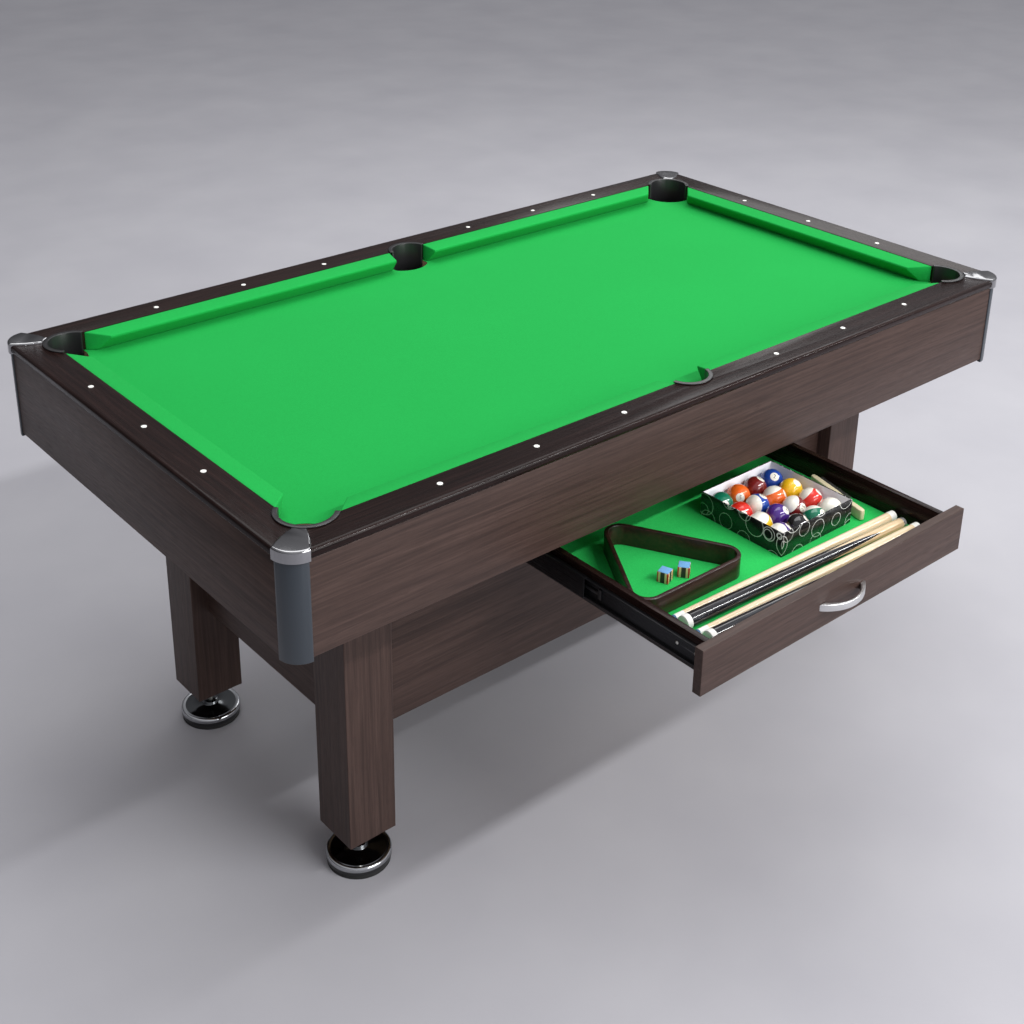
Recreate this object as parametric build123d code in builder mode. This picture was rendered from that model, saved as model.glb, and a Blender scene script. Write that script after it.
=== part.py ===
"""Six-foot pool table with drop pockets and an accessory drawer, modelled with the drawer pulled out.

+X runs along the table's length, -Y is the drawer side, +Z is up, and the floor is z = 0.
Sizes in millimetres.  CY is the table's own centre line in Y.
"""
import os
from math import atan2, cos, degrees, radians, sin, sqrt

from build123d import *

os.makedirs("parts", exist_ok=True)

# Playing field: twice as long as wide, sights one eighth of its length apart.
DIAMOND = 205.0
NOSE_X = 4 * DIAMOND
NOSE_Y = 2 * DIAMOND
BALL_D = 47.6

# Heights above the floor.
RAIL_TOP = 870.0
RAIL_BOARD = 18.0
RAIL_DEPTH = 38.0
CLOTH = 1.2
BED_THICK = 22.0
APRON_BOTTOM = 680.0
CABINET_FLOOR = 688.0
CABINET_FLOOR_T = 12.0
LEG_BOTTOM = 80.0
PANEL_BOTTOM = 290.0

# Plan sizes, half lengths from the table's centre.
HALF_L = 926.0
HALF_W = 516.0
CUSHION_W = 39.0
CORNER_R = 41.0
APRON_INSET = 4.0
APRON_T = 18.0
SIGHT_SETBACK = 67.0
SIGHT_R = 5.0
SIGHT_H = 0.6

# Pockets.
CORNER_POCKET = (828.0, 417.0)
CORNER_POCKET_R = 44.0
SIDE_POCKET_Y = 434.0
SIDE_POCKET_R = 40.0
LINER_WALL = 4.0
LINER_RIM = 9.0
LINER_RIM_H = 2.5
LINER_CLEAR = 0.3
HOLE_REACH = 28.0
SHELF_R = 60.0
CORNER_MOUTH = 72.0
CORNER_MOUTH_BACK = 33.0
SIDE_MOUTH = 54.0
SIDE_MOUTH_BACK = 47.0
CUP_WALL = 2.5
CUP_DEPTH = 90.0

# Legs, lower panels and levelling feet.
LEG = 102.0
LEG_X = 662.0
LEG_Y = 279.0
PANEL_T = 16.0
END_PANEL_FACE = 677.0
LONG_PANEL_FACE = 297.0
STEM_R = 6.0
STEM_TOP = 112.0
STEM_CLEAR = 0.06
FOOT_R = 62.5
FOOT_H = 20.0
PAD_H = 8.0

# Drawer, as it stands pulled out.
DRAWER_FRONT = 720.0
DRAWER_FRONT_T = 18.0
DRAWER_FRONT_Z = (542.0, 630.0)
DRAWER_BOX = 660.0
DRAWER_Z = (557.0, 623.0)
DRAWER_WALL = 12.0
DRAWER_DEPTH = 530.0
DRAWER_OPEN = 514.5
DRAWER_GAP = 0.5
DRAWER_BOTTOM_Z = 563.5
DRAWER_BOTTOM_T = 6.0
FELT_T = 1.5
BAY_HALF = 344.0
BAY_Z = (549.0, 626.0)
BEARER_FACE = 343.3
BEARER_Z = (549.0, 631.0)
HANDLE_SPAN = 126.0
HANDLE_DROP = 28.0
HANDLE_W = 14.0
HANDLE_T = 5.0
HANDLE_PAD = 14.0

# Centre line of the table in Y: the open drawer's handle and the rear cap end evenly about y = 0.
CAP_PROUD = 2.0
DRAWER_FACE = -(LONG_PANEL_FACE + DRAWER_GAP + DRAWER_FRONT_T + DRAWER_OPEN)
CY = (HANDLE_DROP - DRAWER_FACE - (HALF_W + CAP_PROUD)) / 2

BED_TOP = RAIL_TOP - RAIL_DEPTH
SLAB_TOP = BED_TOP - CLOTH
SLAB_BOTTOM = SLAB_TOP - BED_THICK
FLOOR_TOP = CABINET_FLOOR + CABINET_FLOOR_T
WOOD_X = NOSE_X + CUSHION_W
WOOD_Y = NOSE_Y + CUSHION_W
APRON_X = HALF_L - APRON_INSET
APRON_Y = HALF_W - APRON_INSET
APRON_TOP = RAIL_TOP - RAIL_BOARD
CABINET_X = APRON_X - APRON_T
CABINET_Y = APRON_Y - APRON_T
ROUND_X = HALF_L - CORNER_R
ROUND_Y = HALF_W - CORNER_R
FELT_TOP = DRAWER_BOTTOM_Z + DRAWER_BOTTOM_T + FELT_T
CORNERS = {
    "front_left": (-1, -1),
    "front_right": (1, -1),
    "rear_left": (-1, 1),
    "rear_right": (1, 1),
}
CORNER_POCKETS = [
    ((sx * CORNER_POCKET[0], CY + sy * CORNER_POCKET[1]), (sx / sqrt(2), sy / sqrt(2)), CORNER_POCKET_R)
    for sx, sy in CORNERS.values()
]
SIDE_POCKETS = [((0.0, CY + sy * SIDE_POCKET_Y), (0.0, float(sy)), SIDE_POCKET_R) for sy in (-1, 1)]
POCKETS = CORNER_POCKETS + SIDE_POCKETS


def save(shape, name):
    """Names a finished piece and writes its file."""
    shape.label = name
    export_step(shape, f"parts/{name}.step")


def board(name, x, y, z, round_edges=0.0):
    """A rectangular board between the given limits, y measured from the table's centre line."""
    with BuildPart() as made:
        with Locations(((x[0] + x[1]) / 2, CY + (y[0] + y[1]) / 2, (z[0] + z[1]) / 2)):
            Box(x[1] - x[0], y[1] - y[0], z[1] - z[0])
        if round_edges:
            fillet(made.edges(), round_edges)
    save(made.part, name)


def cut_bed_holes(bottom, top):
    """Cuts the pocket holes through the bed, each ended on the field's side by the shelf's curve."""
    for place, out, radius in POCKETS:
        reach = SHELF_R - HOLE_REACH
        with BuildSketch(Plane.XY.offset(bottom)) as hole:
            with Locations(place):
                Circle(radius + LINER_WALL + LINER_CLEAR)
            with Locations((place[0] + out[0] * reach, place[1] + out[1] * reach)):
                Circle(SHELF_R, mode=Mode.INTERSECT)
        extrude(hole.sketch, amount=top - bottom, mode=Mode.SUBTRACT)


def cap_outline(sx, sy):
    """Plan of a corner cap: a petal that widens from the pocket liner to the rounded corner."""
    radius = CORNER_R + CAP_PROUD

    def at(px, py):
        return (sx * px, CY + sy * py)

    with BuildSketch(Plane.XY, mode=Mode.PRIVATE) as plan:
        with BuildLine():
            ThreePointArc(at(855.0, 459.5), at(867.5, 491.0), at(ROUND_X, ROUND_Y + radius))
            ThreePointArc(
                at(ROUND_X, ROUND_Y + radius),
                at(ROUND_X + radius / sqrt(2), ROUND_Y + radius / sqrt(2)),
                at(ROUND_X + radius, ROUND_Y),
            )
            ThreePointArc(at(ROUND_X + radius, ROUND_Y), at(901.0, 457.5), at(869.5, 445.0))
            Line(at(869.5, 445.0), at(855.0, 459.5))
        make_face()
        with Locations((sx * CORNER_POCKET[0], CY + sy * CORNER_POCKET[1])):
            Circle(CORNER_POCKET_R + LINER_RIM + LINER_CLEAR, mode=Mode.SUBTRACT)
    return plan.sketch


# ---------------------------------------------------------------- playing bed
with BuildPart() as bed_slab:
    with Locations((0, CY, (SLAB_TOP + SLAB_BOTTOM) / 2)):
        Box(2 * CABINET_X - 2, 2 * CABINET_Y - 2, BED_THICK)
    cut_bed_holes(SLAB_BOTTOM - 1, SLAB_TOP + 1)
save(bed_slab.part, "bed_panel")

with BuildPart() as bed_cloth:
    with Locations((0, CY, SLAB_TOP + CLOTH / 2)):
        Box(2 * WOOD_X, 2 * WOOD_Y, CLOTH)
    cut_bed_holes(SLAB_TOP - 1, BED_TOP + 1)
save(bed_cloth.part, "bed_cloth")

RIB_T = 18.0
RIB_PLACES = (-LEG_X, -LEG_X / 3, LEG_X / 3, LEG_X)
with BuildPart() as bed_ribs:
    with Locations(*[(rib_x, CY, (FLOOR_TOP + SLAB_BOTTOM) / 2) for rib_x in RIB_PLACES]):
        Box(RIB_T, 2 * CABINET_Y, SLAB_BOTTOM - FLOOR_TOP)
save(bed_ribs.part, "bed_ribs")

board("cabinet_bottom", (-CABINET_X, CABINET_X), (-CABINET_Y, CABINET_Y), (CABINET_FLOOR, FLOOR_TOP))


# ---------------------------------------------------------------- rails
BULLNOSE = 7.0


def rail(name, along_x, side):
    """A rail: a bullnosed top board over a narrower core, with the pockets and caps cut out."""
    end = ROUND_X if along_x else ROUND_Y
    outer = HALF_W if along_x else HALF_L
    inner = WOOD_Y if along_x else WOOD_X
    inner_end = WOOD_X if along_x else WOOD_Y
    core_out = CABINET_Y if along_x else CABINET_X
    core_end = CABINET_X if along_x else CABINET_Y
    step = outer - CORNER_R

    def turned(points):
        if along_x:
            return [(px, CY + side * py) for px, py in points]
        return [(side * py, CY + px) for px, py in points]

    top = [(-end, outer), (end, outer), (end, step), (inner_end, inner), (-inner_end, inner), (-end, step)]
    core = [(-core_end, core_out), (core_end, core_out), (inner_end, inner), (-inner_end, inner)]
    with BuildPart() as made:
        with BuildSketch(Plane.XY.offset(APRON_TOP)) as top_plan:
            Polygon(*turned(top), align=None)
        extrude(top_plan.sketch, amount=RAIL_BOARD)
        along = Axis.X if along_x else Axis.Y
        across = Axis.Y if along_x else Axis.X
        fillet(made.edges().filter_by(along).group_by(across)[-1 if side > 0 else 0], BULLNOSE)
        with BuildSketch(Plane.XY.offset(BED_TOP)) as core_plan:
            Polygon(*turned(core), align=None)
        extrude(core_plan.sketch, amount=RAIL_DEPTH - RAIL_BOARD)
        for place, _, radius in POCKETS:
            with BuildSketch(Plane.XY.offset(BED_TOP - 1)) as hole:
                with Locations(place):
                    Circle(radius + LINER_WALL + LINER_CLEAR)
            extrude(hole.sketch, amount=RAIL_DEPTH + 2, mode=Mode.SUBTRACT)
        for sx, sy in CORNERS.values():
            cap = Pos(0, 0, APRON_TOP) * cap_outline(sx, sy)
            extrude(cap, amount=RAIL_BOARD, dir=(0, 0, 1), mode=Mode.SUBTRACT)
    save(made.part, name)


rail("rail_front", True, -1)
rail("rail_rear", True, 1)
rail("rail_left", False, -1)
rail("rail_right", False, 1)

SIGHT_X = NOSE_X + SIGHT_SETBACK
SIGHT_Y = NOSE_Y + SIGHT_SETBACK
LONG_SIGHTS = [(i * DIAMOND, side * SIGHT_Y) for i in (-3, -2, -1, 1, 2, 3) for side in (-1, 1)]
END_SIGHTS = [(side * SIGHT_X, i * DIAMOND) for i in (-1, 0, 1) for side in (-1, 1)]
with BuildPart() as rail_sights:
    with Locations(*[(px, CY + py, RAIL_TOP + SIGHT_H / 2) for px, py in LONG_SIGHTS + END_SIGHTS]):
        Cylinder(SIGHT_R, SIGHT_H)
save(rail_sights.part, "rail_sights")


# ---------------------------------------------------------------- cushions
NOSE_H = 0.63 * BALL_D
CUSHION_FOOT = 22.0
CUSHION_GAP = 0.2
CUSHION_DROP = 0.5


def cushion(along_x, side, spans):
    """One cushion.  spans lists the plan corners along the nose and along the wood line."""
    wood = WOOD_Y if along_x else WOOD_X
    nose = NOSE_Y if along_x else NOSE_X
    section = [
        (wood, BED_TOP + CUSHION_GAP),
        (nose + CUSHION_FOOT, BED_TOP + CUSHION_GAP),
        (nose, BED_TOP + NOSE_H - 3.0),
        (nose, BED_TOP + NOSE_H + 2.0),
        (wood, RAIL_TOP - CUSHION_DROP),
    ]
    nose_span, wood_span = spans
    plan = [
        (nose_span[0], nose - 1),
        (nose_span[1], nose - 1),
        (nose_span[1], nose),
        (wood_span[1], wood),
        (wood_span[0], wood),
        (nose_span[0], nose),
    ]
    length = max(nose_span[1], wood_span[1]) - min(nose_span[0], wood_span[0])
    start = min(nose_span[0], wood_span[0])
    with BuildPart() as made:
        if along_x:
            with BuildSketch(Plane.YZ.offset(start)) as profile:
                Polygon(*[(CY + side * py, pz) for py, pz in section], align=None)
            extrude(profile.sketch, amount=length, dir=(1, 0, 0))
            outline = [(px, CY + side * py) for px, py in plan]
        else:
            with BuildSketch(Plane.XZ.offset(-CY - start)) as profile:
                Polygon(*[(side * px, pz) for px, pz in section], align=None)
            extrude(profile.sketch, amount=length, dir=(0, 1, 0))
            outline = [(side * py, CY + px) for px, py in plan]
        with BuildSketch(Plane.XY.offset(BED_TOP)) as trim:
            Polygon(*outline, align=None)
        extrude(trim.sketch, amount=RAIL_DEPTH, dir=(0, 0, 1), mode=Mode.INTERSECT)
    return made.part


LONG_NOSE = (SIDE_MOUTH, NOSE_X - CORNER_MOUTH)
LONG_WOOD = (SIDE_MOUTH_BACK, NOSE_X - CORNER_MOUTH_BACK)
END_NOSE = (CORNER_MOUTH - NOSE_Y, NOSE_Y - CORNER_MOUTH)
END_WOOD = (CORNER_MOUTH_BACK - NOSE_Y, NOSE_Y - CORNER_MOUTH_BACK)
for side, place in ((-1, "front"), (1, "rear")):
    save(cushion(True, side, (LONG_NOSE, LONG_WOOD)), f"cushion_{place}_right")
    left_nose = (-LONG_NOSE[1], -LONG_NOSE[0])
    left_wood = (-LONG_WOOD[1], -LONG_WOOD[0])
    save(cushion(True, side, (left_nose, left_wood)), f"cushion_{place}_left")
end_cushions = [cushion(False, side, (END_NOSE, END_WOOD)) for side in (-1, 1)]
save(Compound(children=end_cushions), "end_cushions")


# ---------------------------------------------------------------- pockets
CORNER_SWEEP = 95.0
SIDE_SWEEP = 78.0


def add_liner(place, out, radius, sweep):
    """A C-shaped pocket liner: a wall down through the bed and a rim lying on the rails."""
    middle = degrees(atan2(out[1], out[0]))
    fan = [place]
    for turn in (-sweep, -sweep / 2, 0.0, sweep / 2, sweep):
        angle = radians(middle + turn)
        fan.append((place[0] + 2 * HALF_L * cos(angle), place[1] + 2 * HALF_L * sin(angle)))
    layers = (
        (SLAB_BOTTOM, RAIL_TOP - SLAB_BOTTOM, radius + LINER_WALL),
        (RAIL_TOP, LINER_RIM_H, radius + LINER_RIM),
    )
    for bottom, height, reach in layers:
        with BuildSketch(Plane.XY.offset(bottom)) as ring:
            with Locations(place):
                Circle(reach)
                Circle(radius, mode=Mode.SUBTRACT)
            Polygon(*fan, align=None, mode=Mode.INTERSECT)
        extrude(ring.sketch, amount=height, dir=(0, 0, 1))


with BuildPart() as corner_liners:
    for place, out, radius in CORNER_POCKETS:
        add_liner(place, out, radius, CORNER_SWEEP)
save(corner_liners.part, "corner_pocket_liners")

with BuildPart() as side_liners:
    for place, out, radius in SIDE_POCKETS:
        add_liner(place, out, radius, SIDE_SWEEP)
save(side_liners.part, "side_pocket_liners")

with BuildPart() as pocket_cups:
    for place, _, radius in POCKETS:
        with Locations((place[0], place[1], SLAB_BOTTOM - CUP_DEPTH / 2)):
            Cylinder(radius + LINER_WALL, CUP_DEPTH)
        with Locations((place[0], place[1], SLAB_BOTTOM - CUP_DEPTH / 2 + CUP_WALL)):
            Cylinder(radius + LINER_WALL - CUP_WALL, CUP_DEPTH, mode=Mode.SUBTRACT)
save(pocket_cups.part, "pocket_cups")


# ---------------------------------------------------------------- corner trim
COLUMN_R = 39.0
COLUMN_WALL = 9.0
COLUMN_DROP = 7.0
CAP_TOP = 3.0
CAP_ROUND = 4.0

with BuildPart() as corner_columns:
    for sx, sy in CORNERS.values():
        centre = (sx * ROUND_X, CY + sy * ROUND_Y)
        with BuildSketch(Plane.XY.offset(APRON_BOTTOM - COLUMN_DROP)) as ring:
            with Locations(centre):
                Circle(COLUMN_R)
                Circle(COLUMN_R - COLUMN_WALL, mode=Mode.SUBTRACT)
            with Locations((centre[0] + sx * COLUMN_R / 2, centre[1] + sy * COLUMN_R / 2)):
                Rectangle(COLUMN_R, COLUMN_R, mode=Mode.INTERSECT)
        extrude(ring.sketch, amount=APRON_TOP - APRON_BOTTOM + COLUMN_DROP, dir=(0, 0, 1))
save(corner_columns.part, "corner_columns")

with BuildPart() as corner_caps:
    for sx, sy in CORNERS.values():
        petal = Pos(0, 0, APRON_TOP) * cap_outline(sx, sy)
        extrude(petal, amount=RAIL_BOARD + CAP_TOP, dir=(0, 0, 1))
    fillet(corner_caps.edges().group_by(Axis.Z)[-1], CAP_ROUND)
save(corner_caps.part, "corner_caps")


# ---------------------------------------------------------------- aprons
for side, place in ((-1, "front"), (1, "rear")):
    faces = sorted((side * APRON_Y, side * CABINET_Y))
    board(f"apron_{place}", (-ROUND_X, ROUND_X), faces, (APRON_BOTTOM, APRON_TOP))
for side, place in ((-1, "left"), (1, "right")):
    faces = sorted((side * APRON_X, side * CABINET_X))
    board(f"apron_{place}", faces, (-ROUND_Y, ROUND_Y), (APRON_BOTTOM, APRON_TOP))


# ---------------------------------------------------------------- legs and feet
STEM_HOLE_TOP = STEM_TOP + 2.0
LEG_ROUND = 2.0
FOOT_ROUND = 4.0
HUB_R = 15.0
HUB_H = 8.0
PAD_INSET = 2.0
FOOT_TOP = PAD_H + FOOT_H

for corner, (sx, sy) in CORNERS.items():
    foot_x = sx * LEG_X
    foot_y = CY + sy * LEG_Y
    with BuildPart() as leg:
        with Locations((foot_x, foot_y, (LEG_BOTTOM + CABINET_FLOOR) / 2)):
            Box(LEG, LEG, CABINET_FLOOR - LEG_BOTTOM)
        fillet(leg.edges().filter_by(Axis.Z), LEG_ROUND)
        with Locations((foot_x, foot_y, (LEG_BOTTOM + STEM_HOLE_TOP) / 2)):
            Cylinder(STEM_R + STEM_CLEAR, STEM_HOLE_TOP - LEG_BOTTOM, mode=Mode.SUBTRACT)
    save(leg.part, f"leg_{corner}")

    with BuildPart() as foot:
        with Locations((foot_x, foot_y, PAD_H + FOOT_H / 2)):
            Cylinder(FOOT_R, FOOT_H)
        fillet(foot.edges().group_by(Axis.Z)[-1], FOOT_ROUND)
        with Locations((foot_x, foot_y, FOOT_TOP + HUB_H / 2)):
            Cylinder(HUB_R, HUB_H)
        with Locations((foot_x, foot_y, (FOOT_TOP + STEM_TOP) / 2)):
            Cylinder(STEM_R, STEM_TOP - FOOT_TOP)
    save(foot.part, f"foot_{corner}")

    with BuildPart() as foot_pad:
        with Locations((foot_x, foot_y, PAD_H / 2)):
            Cylinder(FOOT_R - PAD_INSET, PAD_H)
    save(foot_pad.part, f"foot_pad_{corner}")


# ---------------------------------------------------------------- lower panels
LEG_IN_X = LEG_X - LEG / 2
LEG_IN_Y = LEG_Y - LEG / 2
PANEL_Z = (PANEL_BOTTOM, CABINET_FLOOR)
PANEL_BACK = LONG_PANEL_FACE - PANEL_T
with BuildPart() as front_panel:
    with Locations((0, CY - LONG_PANEL_FACE + PANEL_T / 2, (PANEL_Z[0] + PANEL_Z[1]) / 2)):
        Box(2 * LEG_IN_X, PANEL_T, PANEL_Z[1] - PANEL_Z[0])
    with Locations((0, CY - LONG_PANEL_FACE + PANEL_T / 2, (BAY_Z[0] + BAY_Z[1]) / 2)):
        Box(2 * BAY_HALF, 2 * PANEL_T, BAY_Z[1] - BAY_Z[0], mode=Mode.SUBTRACT)
save(front_panel.part, "lower_panel_front")
board("lower_panel_rear", (-LEG_IN_X, LEG_IN_X), (PANEL_BACK, LONG_PANEL_FACE), PANEL_Z)
board("lower_panel_left", (-END_PANEL_FACE, PANEL_T - END_PANEL_FACE), (-LEG_IN_Y, LEG_IN_Y), PANEL_Z)
board("lower_panel_right", (END_PANEL_FACE - PANEL_T, END_PANEL_FACE), (-LEG_IN_Y, LEG_IN_Y), PANEL_Z)
with BuildPart() as slide_bearers:
    for side in (-1, 1):
        with Locations((side * (BEARER_FACE + PANEL_T / 2), CY, (BEARER_Z[0] + BEARER_Z[1]) / 2)):
            Box(PANEL_T, 2 * PANEL_BACK, BEARER_Z[1] - BEARER_Z[0])
save(slide_bearers.part, "slide_bearers")


# ---------------------------------------------------------------- drawer
BOX_FRONT = DRAWER_FACE + DRAWER_FRONT_T
BOX_BACK = BOX_FRONT + DRAWER_DEPTH
BOX_HALF = DRAWER_BOX / 2
BOX_IN = BOX_HALF - DRAWER_WALL
FRONT_HALF = DRAWER_FRONT / 2
board("drawer_front", (-FRONT_HALF, FRONT_HALF), (DRAWER_FACE, BOX_FRONT), DRAWER_FRONT_Z, 1.0)
board("drawer_side_left", (-BOX_HALF, -BOX_IN), (BOX_FRONT, BOX_BACK), DRAWER_Z)
board("drawer_side_right", (BOX_IN, BOX_HALF), (BOX_FRONT, BOX_BACK), DRAWER_Z)
board("drawer_back", (-BOX_IN, BOX_IN), (BOX_BACK - DRAWER_WALL, BOX_BACK), DRAWER_Z)
FLOOR_Y = (BOX_FRONT, BOX_BACK - DRAWER_WALL)
FLOOR_Z = (DRAWER_BOTTOM_Z, DRAWER_BOTTOM_Z + DRAWER_BOTTOM_T)
FELT_EDGE = 0.5
board("drawer_bottom", (-BOX_IN, BOX_IN), FLOOR_Y, FLOOR_Z)
FELT_Y = (FLOOR_Y[0] + FELT_EDGE, FLOOR_Y[1] - FELT_EDGE)
board("drawer_lining", (FELT_EDGE - BOX_IN, BOX_IN - FELT_EDGE), FELT_Y, (FLOOR_Z[1], FELT_TOP))

HANDLE_Z = (DRAWER_FRONT_Z[0] + DRAWER_FRONT_Z[1]) / 2
HANDLE_BACK = CY + DRAWER_FACE
HANDLE_END = HANDLE_SPAN / 2
HANDLE_INNER = HANDLE_END - HANDLE_PAD
with BuildPart() as drawer_handle:
    with BuildSketch(Plane.XY.offset(HANDLE_Z - HANDLE_W / 2)):
        with BuildLine():
            ThreePointArc(
                (-HANDLE_END, HANDLE_BACK),
                (0, HANDLE_BACK - HANDLE_DROP),
                (HANDLE_END, HANDLE_BACK),
            )
            Line((HANDLE_END, HANDLE_BACK), (HANDLE_INNER, HANDLE_BACK))
            ThreePointArc(
                (HANDLE_INNER, HANDLE_BACK),
                (0, HANDLE_BACK - HANDLE_DROP + HANDLE_T),
                (-HANDLE_INNER, HANDLE_BACK),
            )
            Line((-HANDLE_INNER, HANDLE_BACK), (-HANDLE_END, HANDLE_BACK))
        make_face()
    extrude(amount=HANDLE_W)
save(drawer_handle.part, "drawer_handle")


# ---------------------------------------------------------------- telescopic slides
SLIDE_Z = (DRAWER_Z[0] + DRAWER_Z[1]) / 2
SHEET = 1.2
OUTER_LEN = 550.0
MIDDLE_LEN = 530.0
INNER_LEN = 525.0
SLIDE_START = 2.0 - PANEL_BACK
GAP = BEARER_FACE - BOX_HALF


def channels(name, web, reach, half_height, front, length):
    """A sheet channel on each side.  web and reach are depths measured in from the bearer's face."""
    with BuildPart() as made:
        for side in (-1, 1):
            middle = CY + front + length / 2
            with Locations((side * (BEARER_FACE - web - SHEET / 2), middle, SLIDE_Z)):
                Box(SHEET, length, 2 * half_height)
            for lip in (-1, 1):
                lip_z = SLIDE_Z + lip * (half_height - SHEET / 2)
                with Locations((side * (BEARER_FACE - (reach[0] + reach[1]) / 2), middle, lip_z)):
                    Box(reach[1] - reach[0], length, SHEET)
    save(made.part, name)


INNER_START = BOX_FRONT + 2.0
channels("slide_outer_members", 0.0, (0.0, 10.0), 22.5, SLIDE_START, OUTER_LEN)
channels("slide_middle_members", 1.8, (1.8, 11.2), 20.6, SLIDE_START + 4.0 - DRAWER_OPEN / 2, MIDDLE_LEN)
channels("slide_inner_members", GAP - SHEET, (5.0, GAP), 18.6, INNER_START, INNER_LEN)

SCREW_R = 3.6
SCREW_H = 1.6
SCREW_STEPS = (20.0, 62.0, 300.0, 332.0, 500.0)
SCREW_DEPTH = GAP - SHEET - SCREW_H / 2
with BuildPart() as slide_screws:
    for side in (-1, 1):
        for step in SCREW_STEPS:
            place = (side * (BEARER_FACE - SCREW_DEPTH), CY + INNER_START + step, SLIDE_Z)
            with Locations(Location(place, (0, 90, 0))):
                Cylinder(SCREW_R, SCREW_H)
save(slide_screws.part, "slide_screws")

LEVER_STEP = 262.0
LEVER_T = 3.0
with BuildPart() as levers:
    for side in (-1, 1):
        lever_x = side * (BEARER_FACE - GAP + SHEET + LEVER_T / 2)
        lever_y = CY + INNER_START + LEVER_STEP
        with Locations((lever_x, lever_y, SLIDE_Z)):
            Box(LEVER_T, 40.0, 6.0)
        with Locations((lever_x, lever_y - 16, SLIDE_Z)):
            Box(LEVER_T, 8.0, 20.0)
save(levers.part, "slide_release_levers")


# ---------------------------------------------------------------- what lies in the drawer
TRAY = (134.5, -564.0)
TRAY_H = 50.0
TRAY_BASE = 1.5
TRAY_WALL = 3.0
BALL_PITCH = 49.4
TRAY_IN = 4 * BALL_PITCH + 0.4
with BuildPart() as ball_box:
    with Locations((TRAY[0], CY + TRAY[1], FELT_TOP + TRAY_H / 2)):
        Box(TRAY_IN + 2 * TRAY_WALL, TRAY_IN + 2 * TRAY_WALL, TRAY_H)
    with Locations((TRAY[0], CY + TRAY[1], FELT_TOP + TRAY_H / 2 + TRAY_BASE)):
        Box(TRAY_IN, TRAY_IN, TRAY_H, mode=Mode.SUBTRACT)
save(ball_box.part, "ball_box")

with BuildPart() as balls:
    with Locations((TRAY[0], CY + TRAY[1], FELT_TOP + TRAY_BASE + BALL_D / 2)):
        with GridLocations(BALL_PITCH, BALL_PITCH, 4, 4):
            Sphere(BALL_D / 2)
save(balls.part, "balls")

RACK = (-186.0, -574.0)
RACK_H = 42.0
RACK_WALL = 8.0
RACK_REACH = 4 * BALL_D / sqrt(3)
RACK_IN = BALL_D / 2 + 0.8
rack_corners = [
    (RACK[0] + RACK_REACH * cos(radians(turn)), CY + RACK[1] + RACK_REACH * sin(radians(turn)))
    for turn in (89, 209, 329)
]
with BuildPart() as rack:
    with BuildSketch(Plane.XY.offset(FELT_TOP)) as rack_outside:
        Polygon(*rack_corners, align=None)
        offset(amount=RACK_IN + RACK_WALL, kind=Kind.ARC)
    extrude(amount=RACK_H)
    with BuildSketch(Plane.XY.offset(FELT_TOP)) as rack_inside:
        Polygon(*rack_corners, align=None)
        offset(amount=RACK_IN, kind=Kind.ARC)
    extrude(amount=RACK_H, mode=Mode.SUBTRACT)
save(rack.part, "triangle_rack")

CHALK = 22.0
CHALK_PLACES = ((-190.0, -583.0, 20.0), (-150.0, -592.0, 38.0))
with BuildPart() as chalk_cubes:
    for chalk_x, chalk_y, turn in CHALK_PLACES:
        with Locations(Location((chalk_x, CY + chalk_y, FELT_TOP + CHALK / 2), (0, 0, turn))):
            Box(CHALK, CHALK, CHALK)
save(chalk_cubes.part, "chalk_cubes")

BRUSH = (278.0, -600.0)
BRUSH_TURN = 76.0
BRUSH_LEN = 160.0
BRUSH_T = 13.0
BRUSH_W = 24.0
BRISTLE_LEN = 92.0
BRISTLE_H = 14.0
BRISTLE_W = 20.0
brush_along = (cos(radians(BRUSH_TURN)), sin(radians(BRUSH_TURN)), 0)
brush_plane = Plane(origin=(BRUSH[0], CY + BRUSH[1], FELT_TOP), x_dir=brush_along, z_dir=(0, 0, 1))
with BuildPart() as brush_handle:
    with BuildSketch(brush_plane):
        SlotOverall(BRUSH_LEN, BRUSH_T)
    extrude(amount=BRUSH_W)
save(brush_handle.part, "brush_handle")

with BuildPart() as brush_bristles:
    with BuildSketch(brush_plane):
        with Locations((BRUSH_LEN / 2 - BRISTLE_LEN / 2 - 8, -BRUSH_T / 2 - BRISTLE_H / 2)):
            Rectangle(BRISTLE_LEN, BRISTLE_H)
    extrude(amount=BRISTLE_W)
save(brush_bristles.part, "brush_bristles")

CUE_LEN = 585.0
BUTT_R = 14.0
JOINT_R = 10.5
TIP_R = 6.3
CUE_TURN = -3.0
CUE_LEFT = -278.0
CUE_LIFT = 0.1


def cue_half(start, thick, thin, thick_at_left):
    """A tapered cue half lying on the lining, its axis tipped so that it rests along its length."""
    along = Vector(cos(radians(CUE_TURN)), sin(radians(CUE_TURN)), 0)
    left = Vector(CUE_LEFT, CY + start, 0)
    base = left if thick_at_left else left + along * CUE_LEN
    heading = along if thick_at_left else along * -1
    axis = Vector(heading.X, heading.Y, (thin - thick) / CUE_LEN)
    foot = Vector(base.X, base.Y, FELT_TOP + thick + CUE_LIFT)
    with BuildPart(Plane(origin=foot, z_dir=axis)) as half:
        Cone(thick, thin, CUE_LEN - 2, align=(Align.CENTER, Align.CENTER, Align.MIN))
    return half.part


shafts = [cue_half(start, JOINT_R, TIP_R, False) for start in (-683.0, -739.0)]
butts = [cue_half(start, BUTT_R, JOINT_R, True) for start in (-711.0, -768.0)]
save(Compound(children=shafts), "cue_shafts")
save(Compound(children=butts), "cue_butts")
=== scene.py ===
"""Looks for the pool table: materials, small fittings, balls, cues and light round the CAD model."""

import math
import random

import bmesh
import bpy
from mathutils import Matrix, Vector


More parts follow.
